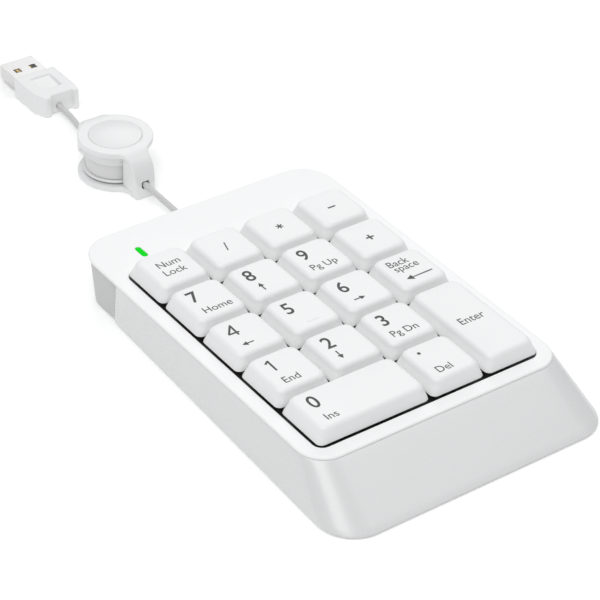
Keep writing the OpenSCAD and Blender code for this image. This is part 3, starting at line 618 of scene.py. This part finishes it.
def rounded(half_x, half_y, r, z, centre=(0, 0), per_corner=10, per_side=1, rear_r=None):
    """A rounded rectangle, anticlockwise from its right front corner's start."""
    points = []
    for side_x, side_y, start in ((1, -1, -90), (1, 1, 0), (-1, 1, 90), (-1, -1, 180)):
        rr = rear_r if rear_r is not None and side_y > 0 else r
        for k in range(per_corner + 1):
            turn = math.radians(start + 90 * k / per_corner)
            points.append((centre[0] + side_x * (half_x - rr) + rr * math.cos(turn),
                           centre[1] + side_y * (half_y - rr) + rr * math.sin(turn), z))
    full = []
    for i, (a, b) in enumerate(zip(points, points[1:] + points[:1])):
        full.append(a)
        if i % (per_corner + 1) == per_corner:
            full += [tuple(mix(p, q, k / per_side) for p, q in zip(a, b))
                     for k in range(1, per_side)]
    return full


FIELD_Y, OPEN_HALF_X, OPEN_HALF_Y = 1.65, 38.1, 47.65
plate_y = (PLATE_FRONT_Y + REAR_Y) / 2
plate_half_y = (REAR_Y - PLATE_FRONT_Y) / 2


def plate_ring(inset, z):
    return rounded(PLATE_HALF_X - inset, plate_half_y - inset, PLATE_FRONT_R - inset, z,
                   (0, plate_y), 16, 4, PLATE_REAR_R - inset)


SLAB_NOSE, SLAB_TUCK, SLAB_TAIL = 0.4, 2.2, 2.9


def slab_ring(front, z):
    """The part of the plate below its rim, which stands inside the skirt."""
    low, high = PLATE_FRONT_Y + front, REAR_Y - SLAB_TAIL
    return rounded(PLATE_HALF_X - SLAB_TUCK, (high - low) / 2, PLATE_FRONT_R - SLAB_TUCK, z,
                   (0, (low + high) / 2), 16, 4, PLATE_REAR_R - SLAB_TUCK)


def opening_ring(grow, z):
    return rounded(OPEN_HALF_X + grow, OPEN_HALF_Y + grow, 3 + grow, z, (0, FIELD_Y), 10)


LIGHT = (-27.9, 56.6)


def slot_ring(grow, z):
    return rounded(0.95 + grow, 2.75 + grow, 0.94 + grow, z, LIGHT, 8)


bm = bmesh.new()
ROLL = 0.52
outer_rings = [slab_ring(SLAB_NOSE, PLATE_LOW), slab_ring(SLAB_TUCK, LIP), plate_ring(0.06, LIP),
               plate_ring(0.0, LIP + 0.05)]
for k in range(9):
    turn = math.radians(90 * k / 8)
    outer_rings.append(plate_ring(ROLL * (1 - math.cos(turn)),
                                  PLATE_HIGH - ROLL * (1 - math.sin(turn))))
outer_rings.append(plate_ring(ROLL + 0.4, PLATE_HIGH))
outer = loft(bm, outer_rings, False)
inner_rings = [opening_ring(0.9, PLATE_HIGH), opening_ring(0.5, PLATE_HIGH)]
for k in range(1, 7):
    turn = math.radians(90 * k / 6)
    inner_rings.append(opening_ring(0.5 * (1 - math.sin(turn)),
                                    PLATE_HIGH - 0.5 * (1 - math.cos(turn))))
inner_rings += [opening_ring(0, 9.1), opening_ring(0.1, 9.0), opening_ring(1.0, 9.0),
                opening_ring(1.0, PLATE_LOW)]
inner = loft(bm, inner_rings, False)
slot = loft(bm, [slot_ring(0.12, PLATE_HIGH), slot_ring(0, PLATE_HIGH - 0.12),
                 slot_ring(0, PLATE_LOW)], False)


def filled(bm, loops, normal):
    edges = []
    for ring in loops:
        for a, b in zip(ring, ring[1:] + ring[:1]):
            edges.append(bm.edges.get((a, b)) or bm.edges.new((a, b)))
    bmesh.ops.triangle_fill(bm, use_beauty=True, edges=edges, normal=normal)


filled(bm, [outer[-1], inner[0], slot[0]], (0, 0, 1))
filled(bm, [outer[0], inner[-1], slot[-1]], (0, 0, -1))
for side in (-1, 1):
    for (x, y), r in ((FRONT_POST, 1.9), (REAR_POST, 3.0)):
        lathe(bm, [(1.25, 5.0), (r - 0.1, 5.0), (r, 5.1), (r, 12.25), (1.25, 12.25), (1.25, 5.0)],
              (side * x, y, 0), sides=32)
plate_white = moulded("plate_white", 0.94, 0.42, grain=2600.0, depth=0.000016)
settle(mesh_piece("plate_moulding", bm, plate_white, 35), "keypad", "white_plastic",
       "top_plate")


# --- status light ---
# A clear green light pipe that fills the slot in the plate, over a small diode on the
# board. It is lit.

pipe_green = Finish("pipe_green", Roughness=0.5, Specular_IOR_Level=0.06,
                    Emission_Strength=0.22)
glow = pipe_green.noise(900.0, 1.0)
pipe_green.set("Base Color", pipe_green.blend(glow, (0.0, 0.5, 0.01, 1), (0.0, 0.62, 0.02, 1)))
pipe_green.set("Emission Color", pipe_green.blend(glow, (0.0, 0.74, 0.0, 1), (0.0, 0.9, 0.004, 1)))
bm = bmesh.new()


def pipe_ring(inset, z):
    return rounded(0.85 - inset, 2.65 - inset, 0.84 - inset, z, LIGHT, 8)


loft(bm, [rounded(1.5, 3.3, 0.4, 10.8, LIGHT, 4), rounded(1.5, 3.3, 0.4, 12.19, LIGHT, 4)])
loft(bm, [pipe_ring(0, 7.96), pipe_ring(0, 13.6), pipe_ring(0.06, 13.72), pipe_ring(0.2, 13.79),
          pipe_ring(0.5, 13.8)])
settle(mesh_piece("light_pipe_lens", bm, pipe_green.material, 40), "keypad", "led_green",
       "light_pipe")


# --- carried parts inside ---
# What the housing hides: the dark key frame, the rubber domes, the printed films, the
# steel backing, the board and what is on it. Each takes its own finish.

def metal(name, base, rough, warmth=0.01):
    skin = Finish(name, Metallic=1.0, Roughness=rough)
    cloud = skin.noise(900.0, 3.0)
    skin.set("Base Color", skin.blend(cloud, grey(base * 0.85, warmth), grey(base, warmth)))
    skin.set("Roughness", rough - 0.06 + 0.12 * cloud)
    skin.bump(cloud, 0.08, 0.00001)
    return skin.material


def tinted(name, first, second, rough, scale, metallic=0.0, threshold=None):
    """A coloured part with a clouded or printed second colour."""
    skin = Finish(name, Roughness=rough, Metallic=metallic)
    cloud = skin.noise(scale, 3.0)
    skin.set("Base Color", skin.blend(cloud if threshold is None else cloud > threshold,
                                      first, second))
    skin.set("Roughness", rough - 0.05 + 0.1 * cloud)
    skin.bump(cloud, 0.1, 0.00002)
    return skin.material


frame_dark = moulded("frame_dark", 0.13, 0.55)
inner_finishes = {
    "key_frame": frame_dark,
    "tail_clamp": frame_dark,
    "enter_stabiliser": metal("spring_wire", 0.6, 0.28),
    "zero_stabiliser": metal("spring_wire_wide", 0.6, 0.28),
    "stack_screws": metal("stack_screw_steel", 0.55, 0.35),
    "board_screws": metal("board_screw_steel", 0.55, 0.35),
    "backing_plate": metal("galvanised_sheet", 0.66, 0.42, 0.0),
    "reel_axle": metal("pin_steel", 0.6, 0.25),
    "reel_spring": metal("coil_steel", 0.5, 0.3),
    "dome_sheet": moulded("dome_silicone", 0.62, 0.6, grain=800.0),
    "membrane_top": tinted("film_top", (0.55, 0.62, 0.7, 1), (0.72, 0.74, 0.76, 1), 0.25,
                           420.0, threshold=0.55),
    "membrane_spacer": tinted("film_spacer", (0.7, 0.72, 0.74, 1), (0.76, 0.77, 0.78, 1), 0.3,
                              200.0),
    "membrane_bottom": tinted("film_bottom", (0.55, 0.62, 0.7, 1), (0.72, 0.74, 0.76, 1), 0.25,
                              360.0, threshold=0.55),
    "controller_board": tinted("board_green", (0.01, 0.13, 0.05, 1), (0.03, 0.24, 0.09, 1), 0.4,
                               700.0, threshold=0.52),
    "controller_chip": tinted("chip_black", (0.02, 0.02, 0.022, 1), (0.035, 0.035, 0.038, 1), 0.5,
                              1800.0),
    "status_led": tinted("diode_green", (0.05, 0.55, 0.1, 1), (0.12, 0.7, 0.2, 1), 0.2, 900.0),
    "cable_connector": tinted("socket_ivory", (0.74, 0.7, 0.58, 1), (0.8, 0.76, 0.65, 1), 0.45,
                              700.0),
    "lead_wires": tinted("wire_red", (0.4, 0.03, 0.02, 1), (0.52, 0.05, 0.04, 1), 0.4, 900.0),
    "plug_tongue": tinted("tongue_white", (0.74, 0.74, 0.73, 1), (0.82, 0.82, 0.81, 1), 0.45,
                          900.0),
    "plug_contacts": tinted("contact_gold", (0.83, 0.58, 0.22, 1), (0.95, 0.72, 0.32, 1), 0.24,
                            2200.0, 1.0),
}
for node, material in inner_finishes.items():
    for mesh_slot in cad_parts[node].material_slots:
        mesh_slot.material = material


# --- keys ---
# Eighteen thin-walled ABS caps with rolled edges and dished tops. Each hangs on a ribbed
# stem in its own barrel, and its legend is printed on it in dark grey ink.

PITCH, KEY_GAP, KEY_LOW, KEY_HIGH = 19.05, 0.85, 14.0, 18.8
INSET_X, INSET_Y = 2.5, 2.0
DISH, DISH_REACH = 0.28, 6.0
STEM_LOW, STEM_R = 7.1, 3.0


class Cap:
    """One key's place and size, and the height of its dished top."""

    def __init__(self, column, row, wide=1, deep=1):
        self.x = (column + wide / 2 - 2) * PITCH
        self.y = FIELD_Y + (2.5 - row - deep / 2) * PITCH
        self.half_x, self.half_y = (wide * PITCH - KEY_GAP) / 2, (deep * PITCH - KEY_GAP) / 2

    def ring(self, inset_x, inset_y, r, z):
        return rounded(self.half_x - inset_x, self.half_y - inset_y, r, z, (self.x, self.y), 8, 6)

    def dish(self, x, y):
        """Depth below the rim at a point of the top, which is deepest DISH_REACH in from its edge."""
        edge = min(self.half_x - INSET_X - abs(x - self.x), self.half_y - INSET_Y - abs(y - self.y))
        t = max(0.0, min(1.0, edge / DISH_REACH))
        return DISH * (1 - (1 - t) ** 2)


key_white = moulded("key_white", 0.91, 0.4, grain=2200.0, depth=0.00002)
CAPS = {
    "num_lock": Cap(0, 0), "divide": Cap(1, 0), "multiply": Cap(2, 0), "minus": Cap(3, 0),
    "7": Cap(0, 1), "8": Cap(1, 1), "9": Cap(2, 1), "plus": Cap(3, 1),
    "4": Cap(0, 2), "5": Cap(1, 2), "6": Cap(2, 2), "backspace": Cap(3, 2),
    "1": Cap(0, 3), "2": Cap(1, 3), "3": Cap(2, 3), "enter": Cap(3, 3, 1, 2),
    "0": Cap(0, 4, 2, 1), "decimal": Cap(2, 4),
}
SHOULDER, ROLL_H = 1.75, 1.6
for name, cap in CAPS.items():
    bm = bmesh.new()
    ceiling = KEY_HIGH - 1.4
    rings = [cap.ring(2.8, 2.5, 1.0, ceiling), cap.ring(1.2, 1.2, 0.6, KEY_LOW),
             cap.ring(0.12, 0.12, 1.75, KEY_LOW), cap.ring(0.0, 0.0, 1.85, KEY_LOW + 0.15)]
    side_top = KEY_HIGH - ROLL_H
    start_x, start_y = INSET_X - SHOULDER + 0.35, INSET_Y - SHOULDER + 0.55
    for k in range(1, 6):
        t = k / 5
        rings.append(cap.ring(start_x * t ** 1.15, start_y * t ** 1.15, mix(1.85, 2.3, t),
                              mix(KEY_LOW + 0.15, side_top, t)))
    for k in range(1, 10):
        turn = math.radians(12 + 78 * k / 9)
        out_x = mix(start_x, INSET_X, 1 - math.cos(turn))
        out_y = mix(start_y, INSET_Y, 1 - math.cos(turn))
        rings.append(cap.ring(out_x, out_y, mix(2.3, 2.6, k / 9), side_top + ROLL_H * math.sin(turn)))
    reach = min(cap.half_x - INSET_X, cap.half_y - INSET_Y)
    for k in range(1, 12):
        deep = (reach - 0.25) * k / 11
        ring = cap.ring(INSET_X + deep, INSET_Y + deep, max(2.6 - deep, 0.2), KEY_HIGH)
        rings.append([(x, y, z - cap.dish(x, y)) for x, y, z in ring])
    loft(bm, rings)
    lathe(bm, [(0, STEM_LOW), (STEM_R + 0.45, STEM_LOW), (STEM_R + 0.6, STEM_LOW + 0.1),
               (STEM_R + 0.6, STEM_LOW + 0.4), (STEM_R, STEM_LOW + 0.4), (STEM_R, ceiling + 0.2),
               (0, ceiling + 0.2)], (cap.x, cap.y, 0), sides=40)
    settle(mesh_piece("cap_" + name, bm, key_white, 38), "key_" + name, "key_plastic",
           "key_" + name)


# --- homing bar ---
# A short moulded ridge on the middle key, near its front edge, to find it by touch.

bm = bmesh.new()
middle = CAPS["5"]
ridge_y = middle.y - 5.0
ridge_z = KEY_HIGH - middle.dish(middle.x, ridge_y)
loft(bm, [rounded(1.9 - step, 0.32 - step, 0.3 - step, ridge_z + up, (middle.x, ridge_y), 6)
          for step, up in ((0.0, -0.1), (0.0, 0.07), (0.05, 0.12), (0.15, 0.15))])
settle(mesh_piece("homing_bar", bm, key_white, 50), "key_5", "key_plastic")


# --- legends ---
# Pad-printed ink, a few hundredths of a millimetre thick, laid on each dished top.

ink = Finish("legend_ink", Roughness=0.5)
ink_cloud = ink.noise(1500.0, 3.0)
ink.set("Base Color", ink.blend(ink_cloud, grey(0.045), grey(0.075)))
ink.set("Roughness", 0.42 + 0.16 * ink_cloud)
INK_LIFT, INK_THICK = 0.008, 0.022


def printed(bm, cap, text, x, y, size, stretch=1.0, bold=0.0):
    """Adds lettering centred at a point of the key."""
    letters = bpy.data.curves.new("letters", "FONT")
    letters.body, letters.size, letters.offset = text, size, bold * size
    letters.align_x = letters.align_y = "CENTER"
    letters.resolution_u = 6
    stand = bpy.data.objects.new("letters", letters)
    bpy.context.scene.collection.objects.link(stand)
    bpy.context.view_layer.update()
    flat = bpy.data.meshes.new_from_object(
        stand.evaluated_get(bpy.context.evaluated_depsgraph_get()))
    bpy.data.objects.remove(stand)
    mid_x = (min(v.co.x for v in flat.vertices) + max(v.co.x for v in flat.vertices)) / 2
    mid_y = (min(v.co.y for v in flat.vertices) + max(v.co.y for v in flat.vertices)) / 2
    shape([(cap.x + x + (v.co.x - mid_x) * stretch, cap.y + y + v.co.y - mid_y)
           for v in flat.vertices], [tuple(p.vertices) for p in flat.polygons], bm, cap)


def shape(points, faces, bm, cap):
    """Lays flat faces on the key's top as a thin closed sheet of ink."""
    top = [bm.verts.new((px * MM, py * MM,
                         (KEY_HIGH - cap.dish(px, py) + INK_LIFT + INK_THICK) * MM))
           for px, py in points]
    made = [bm.faces.new([top[i] for i in face]) for face in faces if len(set(face)) > 2]
    for face in made:
        face.normal_update()
        if face.normal.z < 0:
            face.normal_flip()
    grown_faces = bmesh.ops.extrude_face_region(bm, geom=made, use_keep_orig=True)
    for vert in grown_faces["geom"]:
        if isinstance(vert, bmesh.types.BMVert):
            vert.co.z -= INK_THICK * MM


def bar(bm, cap, start, end, width):
    a, b = Vector(start), Vector(end)
    side = (b - a).normalized().orthogonal() * width / 2
    corners = [a - side, b - side, b + side, a + side]
    shape([(cap.x + p.x, cap.y + p.y) for p in corners], [(0, 1, 2, 3)], bm, cap)


def arrow(bm, cap, centre, towards, length, head=1.7, width=0.45):
    d = Vector(towards)
    c = Vector(centre)
    tip, tail = c + d * length / 2, c - d * length / 2
    neck = tip - d * head
    bar(bm, cap, tail, neck + d * 0.1, width)
    side = d.orthogonal() * head * 0.55
    shape([(cap.x + p.x, cap.y + p.y) for p in (neck - side, neck + side, tip)], [(0, 1, 2)],
          bm, cap)


DIGIT_AT, WORD_Y = (-3.0, 3.0), -4.1
words = {"7": "Home", "9": "Pg Up", "1": "End", "3": "Pg Dn", "0": "Ins"}
word_x = {"7": 0.4, "9": -0.4, "1": -1.3, "3": -0.5, "0": -11.3}
arrows = {"8": ((-2.7, -3.2), (0, 1)), "4": ((-2.2, -4.0), (-1, 0)),
          "6": ((-1.8, -3.8), (1, 0)), "2": ((-3.3, -3.0), (0, -1))}
strokes = {"1": [((0.3, -2.4), (0.3, 2.4)), ((0.3, 2.2), (-1.0, 1.3))],
           "4": [((0.9, -2.4), (0.9, 2.4)), ((-1.8, -1.2), (1.8, -1.2)),
                 ((-1.6, -1.2), (0.9, 2.2))]}
for name, cap in CAPS.items():
    bm = bmesh.new()
    if name.isdigit():
        at_x = DIGIT_AT[0] - (9.2 if name == "0" else 0)
        if name in strokes:
            for start, end in strokes[name]:
                bar(bm, cap, (at_x + start[0], DIGIT_AT[1] + start[1]),
                    (at_x + end[0], DIGIT_AT[1] + end[1]), 0.6)
        else:
            printed(bm, cap, name, at_x, DIGIT_AT[1], 7.0, 0.95, 0.012)
        if name in words:
            printed(bm, cap, words[name], word_x[name], WORD_Y, 4.0, 0.95)
        if name in arrows:
            arrow(bm, cap, arrows[name][0], arrows[name][1], 3.8)
    elif name == "num_lock":
        printed(bm, cap, "Num", 0.3, 2.1, 4.0, 0.95)
        printed(bm, cap, "Lock", 0.0, -2.1, 4.0, 0.95)
    elif name == "backspace":
        printed(bm, cap, "Back", -1.3, 4.2, 4.0, 0.95)
        printed(bm, cap, "space", -0.3, 0.6, 4.0, 0.95)
        arrow(bm, cap, (0.6, -3.9), (-1, 0), 9.2, 2.2, 0.4)
    elif name == "enter":
        printed(bm, cap, "Enter", -0.3, 0.0, 4.2, 0.95)
    elif name == "decimal":
        printed(bm, cap, "Del", -1.9, -4.2, 4.0, 0.95)
        printed(bm, cap, ".", -3.9, 4.4, 9.0)
    elif name == "divide":
        printed(bm, cap, "/", 0, 0, 5.6)
    elif name == "multiply":
        for turn in (0, 60, 120):
            reach = Vector((math.sin(math.radians(turn)), math.cos(math.radians(turn)))) * 1.2
            bar(bm, cap, -reach, reach, 0.42)
    elif name == "minus":
        bar(bm, cap, (-1.35, 0), (1.35, 0), 0.62)
    else:
        bar(bm, cap, (-1.35, 0), (1.35, 0), 0.6)
        bar(bm, cap, (0, -1.35), (0, 1.35), 0.6)
    settle(mesh_piece("legend_" + name, bm, ink.material, 30, False), "key_" + name,
           "key_plastic")
